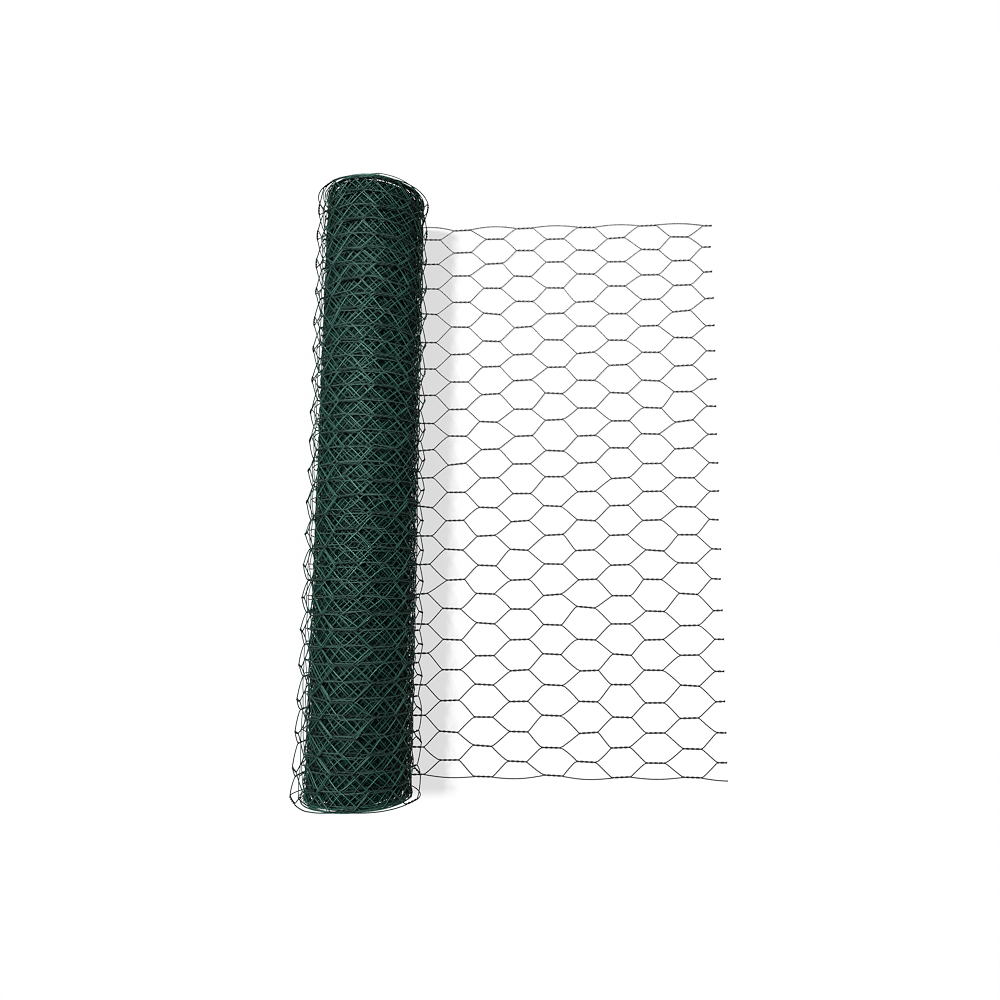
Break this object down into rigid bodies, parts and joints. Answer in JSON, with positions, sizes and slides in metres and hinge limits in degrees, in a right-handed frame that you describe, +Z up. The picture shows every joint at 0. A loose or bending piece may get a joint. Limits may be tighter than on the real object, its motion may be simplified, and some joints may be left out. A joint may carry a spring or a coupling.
{
  "type": "roll of chicken wire",
  "caption": "Roll of green plastic-coated hexagonal wire netting lying on its side, with a loose outer turn and a flat loose end drawn out from under it.",
  "frame": {"origin": "middle of the footprint, on the ground", "axes": "+Z up, +Y along the roll's axis, +X the way the loose end is drawn out from under the roll"},
  "size_m": [0.3404, 0.4884, 0.0858],
  "materials": {
    "coated_wire": "dark green plastic coating on steel wire, satin"
  },
  "bodies": {
    "root": {"wound_roll": "coated_wire", "loose_end": "coated_wire"}
  },
  "joints": []
}
